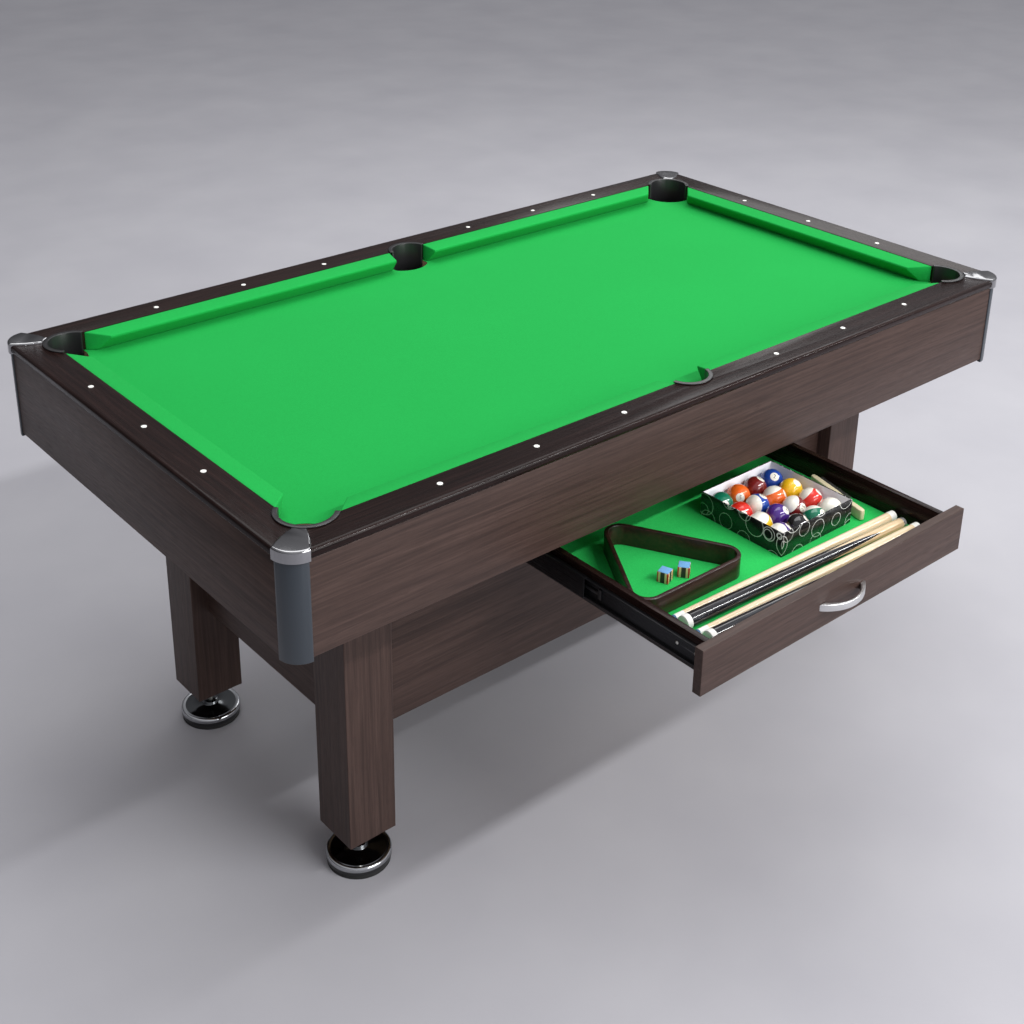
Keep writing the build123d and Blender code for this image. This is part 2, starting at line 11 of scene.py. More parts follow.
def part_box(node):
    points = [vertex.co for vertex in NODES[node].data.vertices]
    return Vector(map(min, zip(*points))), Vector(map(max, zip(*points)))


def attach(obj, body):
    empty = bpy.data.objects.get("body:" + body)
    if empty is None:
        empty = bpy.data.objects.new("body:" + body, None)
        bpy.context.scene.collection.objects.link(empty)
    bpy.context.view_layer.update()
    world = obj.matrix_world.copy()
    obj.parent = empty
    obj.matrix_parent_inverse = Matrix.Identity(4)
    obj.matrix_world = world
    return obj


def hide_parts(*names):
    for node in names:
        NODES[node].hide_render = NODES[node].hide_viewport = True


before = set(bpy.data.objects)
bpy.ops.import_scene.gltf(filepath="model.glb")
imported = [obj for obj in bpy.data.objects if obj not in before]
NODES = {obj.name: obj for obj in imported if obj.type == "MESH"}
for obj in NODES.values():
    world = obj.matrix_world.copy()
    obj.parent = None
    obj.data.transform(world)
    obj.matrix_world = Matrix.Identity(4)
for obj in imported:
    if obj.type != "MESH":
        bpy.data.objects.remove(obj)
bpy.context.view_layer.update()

# Places in the drawer are given from the table's centre, which lies TABLE_Y behind the frame's origin.
TABLE_Y = 0.170
FELT_TOP = 0.571
BALL_R = 0.0238
SHARP = math.radians(35)
JOIN = 0.00001


# ---------------------------------------------------------------- material helpers
class Look:
    """A procedural material, built a node at a time."""

    def __init__(self, name, roughness=0.5, metallic=0.0):
        self.material = bpy.data.materials.new(name)
        self.material.use_nodes = True
        self.tree = self.material.node_tree
        self.shader = self.tree.nodes["Principled BSDF"]
        self.set("Roughness", roughness)
        self.set("Metallic", metallic)
        self.where = self.tree.nodes.new("ShaderNodeTexCoord").outputs["Object"]

    def set(self, socket, value):
        self.shader.inputs[socket].default_value = value

    def link(self, source, socket):
        self.tree.links.new(source, self.shader.inputs[socket])

    def stretched(self, scale, offset=(0.0, 0.0, 0.0)):
        """The object's own coordinates in metres, multiplied by scale on each axis."""
        mapping = self.tree.nodes.new("ShaderNodeMapping")
        mapping.inputs["Scale"].default_value = scale
        mapping.inputs["Location"].default_value = offset
        self.tree.links.new(self.where, mapping.inputs["Vector"])
        return mapping.outputs["Vector"]

    def noise(self, scale, detail=5.0, vector=None, distortion=0.0):
        node = self.tree.nodes.new("ShaderNodeTexNoise")
        node.inputs["Scale"].default_value = scale
        node.inputs["Detail"].default_value = detail
        node.inputs["Distortion"].default_value = distortion
        self.tree.links.new(vector or self.where, node.inputs["Vector"])
        return node.outputs["Fac"]

    def ramp(self, value, stops):
        node = self.tree.nodes.new("ShaderNodeValToRGB")
        node.color_ramp.elements[0].position = stops[0][0]
        node.color_ramp.elements[0].color = (*stops[0][1], 1.0)
        node.color_ramp.elements[1].position = stops[-1][0]
        node.color_ramp.elements[1].color = (*stops[-1][1], 1.0)
        for place, colour in stops[1:-1]:
            node.color_ramp.elements.new(place).color = (*colour, 1.0)
        self.tree.links.new(value, node.inputs["Fac"])
        return node.outputs["Color"]

    def spread(self, value, low, high, start=0.0, end=1.0):
        """Maps a value from start..end to low..high."""
        node = self.tree.nodes.new("ShaderNodeMapRange")
        node.inputs["From Min"].default_value = start
        node.inputs["From Max"].default_value = end
        node.inputs["To Min"].default_value = low
        node.inputs["To Max"].default_value = high
        self.tree.links.new(value, node.inputs["Value"])
        return node.outputs["Result"]

    def maths(self, operation, first, second=0.0):
        node = self.tree.nodes.new("ShaderNodeMath")
        node.operation = operation
        for socket, value in zip(node.inputs, (first, second)):
            if isinstance(value, (int, float)):
                socket.default_value = value
            else:
                self.tree.links.new(value, socket)
        return node.outputs["Value"]

    def mix(self, factor, first, second):
        node = self.tree.nodes.new("ShaderNodeMix")
        node.data_type = "RGBA"
        if isinstance(factor, (int, float)):
            node.inputs[0].default_value = factor
        else:
            self.tree.links.new(factor, node.inputs[0])
        for socket, value in ((node.inputs[6], first), (node.inputs[7], second)):
            if isinstance(value, tuple):
                socket.default_value = (*value, 1.0)
            else:
                self.tree.links.new(value, socket)
        return node.outputs[2]

    def bump(self, height, distance, strength=1.0):
        node = self.tree.nodes.new("ShaderNodeBump")
        node.inputs["Distance"].default_value = distance
        node.inputs["Strength"].default_value = strength
        self.tree.links.new(height, node.inputs["Height"])
        self.tree.links.new(node.outputs["Normal"], self.shader.inputs["Normal"])


GRAIN_LONG = 4.5
GRAIN_FINE = 170.0
PORE_LONG = 30.0
PORE_FINE = 1000.0


def along_axis(axis, long, fine):
    return tuple(long if name == axis else fine for name in "xyz")


def wood(name, axis, tones, roughness, pore_depth=0.00006, coat=0.0, shine=0.5):
    """Wood grain running along one axis, with fine dark pores."""
    look = Look(name, roughness)
    bands = look.noise(1.0, 7.0, look.stretched(along_axis(axis, GRAIN_LONG, GRAIN_FINE)), 0.6)
    pores = look.noise(1.0, 3.0, look.stretched(along_axis(axis, PORE_LONG, PORE_FINE)))
    patches = look.noise(1.0, 2.0, look.stretched(along_axis(axis, 1.2, 6.0)))
    colour = look.ramp(bands, [(0.32, tones[0]), (0.52, tones[1]), (0.70, tones[2])])
    colour = look.mix(look.spread(pores, 0.0, 0.70, 0.54, 0.68), colour, tones[0])
    colour = look.mix(look.spread(patches, 0.0, 0.16, 0.45, 0.75), colour, tones[2])
    look.link(colour, "Base Color")
    look.link(look.spread(pores, roughness - 0.06, roughness + 0.12, 0.3, 0.75), "Roughness")
    look.set("Specular IOR Level", shine)
    look.set("Coat Weight", coat)
    look.set("Coat Roughness", 0.18)
    look.bump(pores, pore_depth)
    return look.material


PANEL_TONES = ((0.0290, 0.0160, 0.0128), (0.0480, 0.0275, 0.0220), (0.0640, 0.0380, 0.0310))
RAIL_TONES = ((0.0055, 0.0024, 0.0021), (0.0120, 0.0054, 0.0046), (0.0210, 0.0100, 0.0085))
BOARD_TONES = ((0.30, 0.19, 0.10), (0.42, 0.29, 0.17), (0.52, 0.38, 0.24))
RACK_TONES = ((0.008, 0.0025, 0.002), (0.020, 0.006, 0.0045), (0.036, 0.011, 0.008))
laminate = {}
for axis in "xyz":
    laminate[axis] = wood(f"laminate_{axis}", axis, PANEL_TONES, 0.42, shine=0.28)
rail_laminate = {}
for axis in "xy":
    rail_laminate[axis] = wood(f"rail_laminate_{axis}", axis, RAIL_TONES, 0.22, 0.00002, shine=0.16)
raw_board = wood("raw_board", "x", BOARD_TONES, 0.7)
mahogany = wood("mahogany", "x", RACK_TONES, 0.34, coat=0.2)


def cloth(name, dark, light):
    """Napped cloth: a fine fibre grain, faint mottling and a soft sheen."""
    look = Look(name, 0.92)
    fibres = look.noise(1500.0, 2.0)
    nap = look.noise(240.0, 4.0)
    wear = look.noise(3.2, 3.0)
    colour = look.ramp(fibres, [(0.30, dark), (0.72, light)])
    colour = look.mix(look.spread(nap, 0.0, 0.30, 0.4, 0.75), colour, dark)
    colour = look.mix(look.spread(wear, 0.0, 0.14, 0.45, 0.75), colour, light)
    look.link(colour, "Base Color")
    look.set("Sheen Weight", 0.12)
    look.set("Sheen Roughness", 0.4)
    look.set("Sheen Tint", (*light, 1.0))
    look.set("Specular IOR Level", 0.2)
    look.bump(look.maths("ADD", fibres, nap), 0.00018, 0.6)
    return look.material


bed_green = cloth("bed_green", (0.004, 0.25, 0.038), (0.010, 0.39, 0.068))
felt_green = cloth("felt_green", (0.012, 0.39, 0.070), (0.035, 0.64, 0.130))


def plastic(name, colour, roughness, grain=0.00004):
    """Moulded plastic with a fine texture and slight unevenness of tone."""
    look = Look(name, roughness)
    speckle = look.noise(900.0, 3.0)
    drift = look.noise(5.0, 1.0)
    lighter = tuple(min(1.0, c * 1.25 + 0.003) for c in colour)
    look.link(look.mix(look.spread(drift, 0.0, 0.4, 0.3, 0.75), colour, lighter), "Base Color")
    look.link(look.spread(speckle, roughness - 0.03, roughness + 0.05, 0.3, 0.7), "Roughness")
    look.bump(speckle, grain)
    return look.material


black_plastic = plastic("black_plastic", (0.012, 0.012, 0.013), 0.34)
cup_plastic = plastic("cup_plastic", (0.006, 0.006, 0.006), 0.55)
slate_trim = plastic("slate_trim", (0.026, 0.033, 0.042), 0.34)
white_sight = plastic("white_sight", (0.80, 0.80, 0.76), 0.22, 0.00001)
cream = plastic("cream", (0.62, 0.55, 0.36), 0.38)
rubber = plastic("rubber", (0.010, 0.010, 0.010), 0.75)


def metal(name, colour, roughness, scratch=0.00001, brushed=None):
    """Metal with fine scratches, either scattered or drawn along one axis."""
    look = Look(name, roughness, 1.0)
    if brushed:
        lines = look.noise(1.0, 4.0, look.stretched(along_axis(brushed, 12.0, 2400.0)))
    else:
        lines = look.noise(420.0, 4.0)
    smears = look.noise(18.0, 3.0)
    duller = tuple(c * 0.82 for c in colour)
    look.link(look.mix(look.spread(smears, 0.0, 0.6, 0.4, 0.7), colour, duller), "Base Color")
    look.link(look.spread(smears, roughness, roughness + 0.10, 0.35, 0.75), "Roughness")
    look.bump(lines, scratch)
    return look.material


chrome = metal("chrome", (0.52, 0.53, 0.55), 0.08, 0.000003)
# The corner caps use a darker copy of chrome: the dimmed base colour paints in a dark reflection on their
# tops.
painted_dark_reflection_chrome = metal("painted_dark_reflection_chrome", (0.33, 0.33, 0.34), 0.07, 0.000002)
satin = metal("satin", (0.70, 0.70, 0.70), 0.27, 0.00001, "x")
zinc = metal("zinc", (0.60, 0.60, 0.56), 0.28)


def painted_steel():
    """Black slide steel with rolling lines and a few bright rub marks."""
    look = Look("slide_steel", 0.32, 0.6)
    lines = look.noise(1.0, 4.0, look.stretched((900.0, 6.0, 900.0)))
    rubs = look.noise(1.0, 2.0, look.stretched((300.0, 9.0, 420.0)))
    worn = look.spread(rubs, 0.0, 0.5, 0.66, 0.80)
    look.link(look.mix(worn, (0.012, 0.012, 0.014), (0.16, 0.16, 0.17)), "Base Color")
    look.link(look.spread(lines, 0.24, 0.42, 0.3, 0.7), "Roughness")
    look.bump(lines, 0.00002)
    return look.material


slide_steel = painted_steel()


# ---------------------------------------------------------------- finishing the CAD nodes
def split_sharp(obj, angle=SHARP):
    split = obj.modifiers.new("split", "EDGE_SPLIT")
    split.split_angle = angle


def finish_node(node, material, bevel=0.0008, segments=3):
    """Dresses one CAD node: joined corners, eased edges, smooth shading and its material."""
    obj = NODES[node]
    obj.data.materials.clear()
    obj.data.materials.append(material)
    for face in obj.data.polygons:
        face.use_smooth = True
    weld = obj.modifiers.new("weld", "WELD")
    weld.merge_threshold = JOIN
    if bevel:
        ease = obj.modifiers.new("ease", "BEVEL")
        ease.width = bevel
        ease.segments = segments
        ease.limit_method = "ANGLE"
        ease.angle_limit = SHARP
        ease.harden_normals = True
        ease.use_clamp_overlap = True
    else:
        split_sharp(obj)
    return obj


for node in ("rail_front", "rail_rear"):
    finish_node(node, rail_laminate["x"])
for node in ("rail_left", "rail_right"):
    finish_node(node, rail_laminate["y"])
for node in ("apron_front", "apron_rear", "lower_panel_front", "lower_panel_rear"):
    finish_node(node, laminate["x"])
for node in ("drawer_front", "drawer_back"):
    finish_node(node, laminate["x"])
for node in ("apron_left", "apron_right", "lower_panel_left", "lower_panel_right"):
    finish_node(node, laminate["y"])
for node in ("drawer_side_left", "drawer_side_right"):
    finish_node(node, rail_laminate["y"])
CORNER_NAMES = ("front_left", "front_right", "rear_left", "rear_right")
for corner in CORNER_NAMES:
    finish_node(f"leg_{corner}", laminate["z"], 0.0)
for node in ("bed_panel", "bed_ribs", "cabinet_bottom", "slide_bearers", "drawer_bottom"):
    finish_node(node, raw_board, 0.0)
for node in ("cushion_front_left", "cushion_front_right", "cushion_rear_left", "cushion_rear_right"):
    finish_node(node, bed_green, 0.0022, 4)
finish_node("end_cushions", bed_green, 0.0022, 4)
finish_node("corner_pocket_liners", black_plastic, 0.0011)
finish_node("side_pocket_liners", black_plastic, 0.0011)
finish_node("pocket_cups", cup_plastic, 0.0)
finish_node("corner_caps", painted_dark_reflection_chrome, 0.0)
finish_node("corner_columns", slate_trim, 0.0015)
finish_node("rail_sights", white_sight, 0.0)
finish_node("slide_outer_members", slide_steel, 0.0003, 2)
finish_node("slide_middle_members", slide_steel, 0.0003, 2)
finish_node("slide_inner_members", slide_steel, 0.0003, 2)
finish_node("slide_release_levers", black_plastic, 0.0005, 2)
finish_node("drawer_handle", satin, 0.0016, 4)
finish_node("triangle_rack", mahogany, 0.0014)


# ---------------------------------------------------------------- mesh helpers
def add_piece(name, mesh, material, body, smooth=True):
    """A new visual piece that rides on a CAD body."""
    obj = bpy.data.objects.new(name, mesh)
    bpy.context.scene.collection.objects.link(obj)
    mesh.materials.append(material)
    for face in mesh.polygons:
        face.use_smooth = smooth
    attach(obj, body)
    return obj


def revolve(profile, steps=64):
    """A mesh turned from (radius, height) points about Z."""
    mesh = bpy.data.meshes.new("turned")
    made = bmesh.new()
    rings = []
    for radius, height in profile:
        ring = []
        for i in range(steps):
            angle = 2 * math.pi * i / steps
            ring.append(made.verts.new((radius * math.cos(angle), radius * math.sin(angle), height)))
        rings.append(ring)
    for low, high in zip(rings, rings[1:]):
        for i in range(steps):
            j = (i + 1) % steps
            made.faces.new((low[i], low[j], high[j], high[i]))
    made.faces.new(list(reversed(rings[0])))
    made.faces.new(rings[-1])
    made.to_mesh(mesh)
    made.free()
    return mesh


def block(size, bevel):
    """A box about its own centre, with eased edges."""
    mesh = bpy.data.meshes.new("block")
    made = bmesh.new()
    bmesh.ops.create_cube(made, size=1.0)
    bmesh.ops.scale(made, vec=size, verts=made.verts)
    edges = made.edges[:]
    bmesh.ops.bevel(made, geom=edges, offset=bevel, segments=3, affect="EDGES", profile=0.5)
    made.to_mesh(mesh)
    made.free()
    return mesh


def place(obj, where, turn=0.0):
    obj.matrix_world = Matrix.Translation(where) @ Matrix.Rotation(turn, 4, "Z")


# ---------------------------------------------------------------- cloths
def cloth_from(node, name, body, material):
    """The top of a CAD sheet, as the cloth that is stretched or laid there."""
    made = bmesh.new()
    made.from_mesh(NODES[node].data)
    bmesh.ops.remove_doubles(made, verts=made.verts, dist=JOIN)
    top = max(v.co.z for v in made.verts)
    lower = [f for f in made.faces if f.calc_center_median().z < top - 5 * JOIN]
    bmesh.ops.delete(made, geom=lower, context="FACES")
    mesh = bpy.data.meshes.new(name)
    made.to_mesh(mesh)
    made.free()
    obj = add_piece(name, mesh, material, body, smooth=False)
    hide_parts(node)


cloth_from("bed_cloth", "stretched_bed_cloth", "table", bed_green)
cloth_from("drawer_lining", "drawer_felt", "drawer", felt_green)


# ---------------------------------------------------------------- balls
BALL_COLOURS = {
    1: (0.85, 0.50, 0.015),
    2: (0.010, 0.055, 0.32),
    3: (0.62, 0.022, 0.012),
    4: (0.060, 0.018, 0.20),
    5: (0.80, 0.13, 0.015),
    6: (0.006, 0.16, 0.085),
    7: (0.17, 0.012, 0.012),
    8: (0.008, 0.008, 0.009),
}
# Ball numbers, back row first, left to right; 0 is the cue ball.
BALL_ROWS = ((6, 5, 7, 2), (3, 10, 13, 1), (9, 4, 15, 11), (12, 8, 14, 0))
IVORY = (0.80, 0.77, 0.68)
SPOT_COS = 0.93
BAND_HALF = 0.52
NUMBER_HEIGHT = 0.0112
INK_LIFT = 0.00006


def ball_look(number):
    """Polished resin: solid, or ivory with a coloured band, and two white spots at the poles of X."""
    look = Look(f"ball_{number}", 0.06)
    parts = look.tree.nodes.new("ShaderNodeSeparateXYZ")
    look.tree.links.new(look.where, parts.inputs["Vector"])
    swirl = look.noise(90.0, 4.0)
    if number:
        colour = BALL_COLOURS[(number - 1) % 8 + 1]
        if number > 8:
            band = look.maths("LESS_THAN", look.maths("ABSOLUTE", parts.outputs["Z"]), BALL_R * BAND_HALF)
            base = look.mix(band, IVORY, colour)
        else:
            base = look.mix(look.spread(swirl, 0.0, 0.15), colour, tuple(c * 0.8 for c in colour))
        spot = look.maths("GREATER_THAN", look.maths("ABSOLUTE", parts.outputs["X"]), BALL_R * SPOT_COS)
        base = look.mix(spot, base, IVORY)
    else:
        base = look.mix(look.spread(swirl, 0.0, 0.3), IVORY, (0.86, 0.84, 0.76))
    look.link(base, "Base Color")
    look.link(look.spread(swirl, 0.04, 0.10), "Roughness")
    look.set("Coat Weight", 0.6)
    look.set("Coat Roughness", 0.03)
    return look.material


number_ink = plastic("number_ink", (0.01, 0.01, 0.01), 0.12, 0.000002)


def ball_number(number):
    """Both printed numbers of a ball, as thin letters wrapped on to its surface."""
    made = bmesh.new()
    for side in (0.0, math.pi):
        curve = bpy.data.curves.new("number", "FONT")
        curve.body = str(number)
        curve.size = NUMBER_HEIGHT
        curve.align_x = "CENTER"
        curve.align_y = "CENTER"
        curve.resolution_u = 4
        holder = bpy.data.objects.new("number", curve)
        bpy.context.scene.collection.objects.link(holder)
        bpy.context.view_layer.update()
        shown = holder.evaluated_get(bpy.context.evaluated_depsgraph_get())
        flat = bpy.data.meshes.new_from_object(shown)
        bpy.data.objects.remove(holder)
        letters = bmesh.new()
        letters.from_mesh(flat)
        bmesh.ops.subdivide_edges(letters, edges=letters.edges[:], cuts=2)
        for vert in letters.verts:
            point = Vector((BALL_R, vert.co.x, vert.co.y))
            vert.co = Matrix.Rotation(side, 3, "Z") @ (point.normalized() * (BALL_R + INK_LIFT))
        joined = bpy.data.meshes.new("wrapped")
        letters.to_mesh(joined)
        letters.free()
        made.from_mesh(joined)
    mesh = bpy.data.meshes.new(f"number_{number}")
    made.to_mesh(mesh)
    made.free()
    return mesh


def ball_mesh(number):
    """A finely divided sphere about its own centre."""
    mesh = bpy.data.meshes.new(f"ball_{number}")
    made = bmesh.new()
    bmesh.ops.create_uvsphere(made, u_segments=64, v_segments=40, radius=BALL_R)
    made.to_mesh(mesh)
    made.free()
    return mesh


ball_low, ball_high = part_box("balls")
pitch_x = (ball_high[0] - ball_low[0] - 2 * BALL_R) / 3
pitch_y = (ball_high[1] - ball_low[1] - 2 * BALL_R) / 3
ball_z = (ball_low[2] + ball_high[2]) / 2
ball_turns = random.Random(4)
for row, numbers in enumerate(BALL_ROWS):
    for column, number in enumerate(numbers):
        x = ball_low[0] + BALL_R + column * pitch_x
        y = ball_high[1] - BALL_R - row * pitch_y
        turn = Matrix.Rotation(ball_turns.uniform(-2.6, -0.4), 4, "Z")
        turn = turn @ Matrix.Rotation(-ball_turns.uniform(0.3, 1.3), 4, "Y")
        turn = turn @ Matrix.Rotation(ball_turns.uniform(-0.8, 0.8), 4, "X")
        where = Matrix.Translation((x, y, ball_z)) @ turn
        ball = add_piece(f"pool_ball_{number}", ball_mesh(number), ball_look(number), "drawer")
        ball.matrix_world = where
        if row == 0 and column == 0:
            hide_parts("balls")
        if number:
            ink = add_piece(f"ball_number_{number}", ball_number(number), number_ink, "drawer")
            ink.matrix_world = where


# ---------------------------------------------------------------- ball box
CARD_T = 0.003
RING_R = 0.34
RING_HALF = 0.011


def box_card():
    """Glossy black card printed with thin white rings."""
    look = Look("box_card", 0.26)
    rings = None
    for scale, seed in ((15.0, 0.0), (21.0, 3.7), (18.0, 9.1)):
        cells = look.tree.nodes.new("ShaderNodeTexVoronoi")
        cells.inputs["Scale"].default_value = scale
        moved = look.stretched((1.0, 1.0, 1.0), (seed, seed, seed))
        look.tree.links.new(moved, cells.inputs["Vector"])
        away = look.maths("ABSOLUTE", look.maths("SUBTRACT", cells.outputs["Distance"], RING_R))
        line = look.maths("LESS_THAN", away, RING_HALF)
        rings = line if rings is None else look.maths("MAXIMUM", rings, line)
    scuffs = look.noise(60.0, 4.0)
    black = look.mix(look.spread(scuffs, 0.0, 0.5, 0.4, 0.75), (0.006, 0.006, 0.007), (0.022, 0.020, 0.021))
    look.link(look.mix(rings, black, (0.50, 0.50, 0.48)), "Base Color")
    look.link(look.spread(scuffs, 0.20, 0.36, 0.35, 0.7), "Roughness")
    look.bump(scuffs, 0.00006)
    return look.material


card_print = box_card()
card_white = plastic("card_white", (0.70, 0.70, 0.74), 0.6, 0.00003)
tray = finish_node("ball_box", card_print, 0.0006, 2)
tray.data.materials.append(card_white)
tray_low, tray_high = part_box("ball_box")
margin = CARD_T * 0.9
for face in tray.data.polygons:
    middle = face.center
    inside_x = tray_low[0] + margin < middle.x < tray_high[0] - margin
    inside_y = tray_low[1] + margin < middle.y < tray_high[1] - margin
    if inside_x and inside_y and middle.z > tray_low[2] + 0.001:
        face.material_index = 1


# ---------------------------------------------------------------- chalk
CHALK = 0.022
CHALK_FACE = 0.0206
CHALK_FACE_T = 0.0016
CHALK_LIP = 0.0012
CHALK_PLACES = ((-0.190, -0.583, 20.0), (-0.150, -0.592, 38.0))


def chalk_look():
    """Dusty blue chalk."""
    look = Look("chalk_blue", 0.95)
    grain = look.noise(1400.0, 5.0)
    look.link(look.ramp(grain, [(0.3, (0.10, 0.28, 0.56)), (0.7, (0.22, 0.48, 0.80))]), "Base Color")
    look.bump(grain, 0.0004)
    return look.material


def chalk_wrapper():
    """Cream paper with a dark panel on each side and red corners."""
    look = Look("chalk_paper", 0.55)
    parts = look.tree.nodes.new("ShaderNodeSeparateXYZ")
    look.tree.links.new(look.where, parts.inputs["Vector"])
    side_x = look.maths("ABSOLUTE", parts.outputs["X"])
    side_y = look.maths("ABSOLUTE", parts.outputs["Y"])
    from_middle = look.maths("MINIMUM", side_x, side_y)
    corner = look.maths("GREATER_THAN", from_middle, 0.0082)
    panel = look.maths("LESS_THAN", from_middle, 0.0042)
    fibres = look.noise(700.0, 3.0)
    paper = look.mix(look.spread(fibres, 0.0, 0.4), (0.72, 0.60, 0.28), (0.80, 0.70, 0.42))
    paper = look.mix(panel, paper, (0.035, 0.030, 0.028))
    look.link(look.mix(corner, paper, (0.50, 0.035, 0.020)), "Base Color")
    look.bump(fibres, 0.00004)
    return look.material


chalk_blue = chalk_look()
chalk_paper = chalk_wrapper()
for i, (x, y, turn) in enumerate(CHALK_PLACES):
    middle = FELT_TOP + CHALK / 2
    sleeve = block((CHALK, CHALK, CHALK - CHALK_LIP), 0.0006)
    wrap = add_piece(f"chalk_wrap_{i}", sleeve, chalk_paper, "drawer")
    place(wrap, (x, y + TABLE_Y, middle - CHALK_LIP / 2), math.radians(turn))
    face = block((CHALK_FACE, CHALK_FACE, CHALK_FACE_T), 0.0005)
    cap = add_piece(f"chalk_top_{i}", face, chalk_blue, "drawer")
    place(cap, (x, y + TABLE_Y, middle + CHALK / 2 - CHALK_FACE_T / 2), math.radians(turn))
    if i == 0:
        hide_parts("chalk_cubes")


# ---------------------------------------------------------------- brush
BRUSH = (0.278, -0.600)
BRUSH_TURN = math.radians(76.0)
BRUSH_LEN = 0.160
BRUSH_LOW = 0.0012
BRUSH_HIGH = 0.0228
TUFT_ROWS = 46
TUFT_LAYERS = 9
TUFT_HAIRS = 3
TUFT_RUN = 0.0915
HAIR_R = 0.00022
HAIR_LEN = 0.0138
brush_grip = ((-0.080, 0.0045), (-0.072, 0.0064), (-0.050, 0.0060), (-0.026, 0.0044), (-0.012, 0.0050))
brush_block = ((0.004, 0.0062), (0.070, 0.0062), (0.080, 0.0042))


def brush_back():
    """The brush's cream back, from (along, half width) points and one height."""
    mesh = bpy.data.meshes.new("brush_back")
    made = bmesh.new()
    section = ((-1, BRUSH_LOW), (1, BRUSH_LOW), (1, BRUSH_HIGH), (-1, BRUSH_HIGH))
    rings = []
    for along, half in brush_grip + brush_block:
        rings.append([made.verts.new((along, side * half, height)) for side, height in section])
    for low, high in zip(rings, rings[1:]):
        for i in range(4):
            j = (i + 1) % 4
            made.faces.new((low[i], low[j], high[j], high[i]))
    made.faces.new(list(reversed(rings[0])))
    made.faces.new(rings[-1])
    bmesh.ops.recalc_face_normals(made, faces=made.faces)
    made.to_mesh(mesh)
    made.free()
    return mesh


def add_hair(made, root, tip):
    """One three-sided bristle, a little thinner at its tip."""
    around = ((-1, -1), (1, -1), (0, 1))
    corners = [root + Vector((side * HAIR_R, 0, lift * HAIR_R)) for side, lift in around]
    ends = [tip + (corner - root) * 0.6 for corner in corners]
    low = [made.verts.new(corner) for corner in corners]
    high = [made.verts.new(end) for end in ends]
    for a in range(3):
        b = (a + 1) % 3
        made.faces.new((low[a], low[b], high[b], high[a]))
    made.faces.new(high)


def bristle_tufts():
    """Rows of tufts along the block end of the brush."""
    mesh = bpy.data.meshes.new("bristles")
    made = bmesh.new()
    tufts = random.Random(9)
    for i in range(TUFT_ROWS):
        along = BRUSH_LEN / 2 - 0.008 - TUFT_RUN * (i + 0.5) / TUFT_ROWS
        for k in range(TUFT_LAYERS):
            height = 0.002 + 0.0018 * k + tufts.uniform(0, 0.0008)
            for _ in range(TUFT_HAIRS):
                lean_x = tufts.uniform(-0.0010, 0.0010)
                lean_z = tufts.uniform(-0.0006, 0.0006)
                root = Vector((along + tufts.uniform(-0.0006, 0.0006), -0.0060, height))
                tip = root + Vector((lean_x, -HAIR_LEN - tufts.uniform(0, 0.0006), lean_z))
                add_hair(made, root, tip)
    made.to_mesh(mesh)
    made.free()
    return mesh


def bristle_look():
    """Dark strands, each a slightly different tone."""
    look = Look("bristle", 0.6)
    strand = look.noise(1100.0, 2.0)
    look.link(look.ramp(strand, [(0.3, (0.008, 0.008, 0.008)), (0.8, (0.05, 0.045, 0.04))]), "Base Color")
    return look.material


brush_place = (BRUSH[0], BRUSH[1] + TABLE_Y, FELT_TOP)
brush = add_piece("brush_wood", brush_back(), cream, "drawer")
place(brush, brush_place, BRUSH_TURN)
soften = brush.modifiers.new("soften", "BEVEL")
soften.width = 0.0022
soften.segments = 4
soften.limit_method = "ANGLE"
soften.angle_limit = math.radians(30)
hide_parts("brush_handle")
bristles = add_piece("bristle_tufts", bristle_tufts(), bristle_look(), "drawer", smooth=False)
place(bristles, brush_place, BRUSH_TURN)
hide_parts("brush_bristles")


# ---------------------------------------------------------------- cues
CUE_LEN = 0.585
CUE_TURN = math.radians(-3.0)
CUE_LEFT = -0.278
SHAFT_STARTS = (-0.683, -0.739)
BUTT_STARTS = (-0.711, -0.768)
BUTT_R = 0.0140
JOINT_R = 0.0105
TIP_R = 0.0063
FERRULE_AT = 0.556
FERRULE_END = 0.576
RING_AT = 0.573
BUMPER_LEN = 0.012

MAPLE_TONES = ((0.62, 0.47, 0.28), (0.76, 0.62, 0.42), (0.84, 0.72, 0.53))
maple = wood("maple", "z", MAPLE_TONES, 0.22, 0.00001, 0.6)
ferrule = plastic("ferrule", (0.80, 0.79, 0.74), 0.25, 0.000004)
tip_leather = plastic("tip_leather", (0.05, 0.12, 0.22), 0.85)
bumper = plastic("bumper", (0.74, 0.73, 0.70), 0.5)


def butt_look():
    """Gloss black butt whose points run into a maple forearm, with painted grey-blue highlight streaks
    along the black.
    """
    look = Look("cue_butt", 0.14)
    parts = look.tree.nodes.new("ShaderNodeSeparateXYZ")
    look.tree.links.new(look.where, parts.inputs["Vector"])
    around = look.maths("ARCTAN2", parts.outputs["Y"], parts.outputs["X"])
    wave = look.maths("ABSOLUTE", look.maths("SINE", look.maths("MULTIPLY", around, 2.0)))
    edge = look.spread(wave, 0.36, 0.50)
    forearm = look.maths("GREATER_THAN", parts.outputs["Z"], edge)
    grain = look.noise(1.0, 5.0, look.stretched((220.0, 220.0, 4.0)))
    pale = look.ramp(grain, [(0.3, (0.50, 0.34, 0.18)), (0.7, (0.74, 0.58, 0.36))])
    # Painted highlight: long grey-blue streaks in the black stand in for gloss highlights; the same streaks
    # also vary the roughness.
    painted_highlight_streak = look.noise(1.0, 4.0, look.stretched((160.0, 160.0, 9.0)))
    black = look.ramp(painted_highlight_streak, [(0.55, (0.008, 0.008, 0.010)), (0.78, (0.09, 0.10, 0.12))])
    look.link(look.mix(forearm, black, pale), "Base Color")
    look.link(look.spread(painted_highlight_streak, 0.10, 0.24, 0.3, 0.8), "Roughness")
    look.set("Coat Weight", 0.6)
    return look.material


black_butt = butt_look()


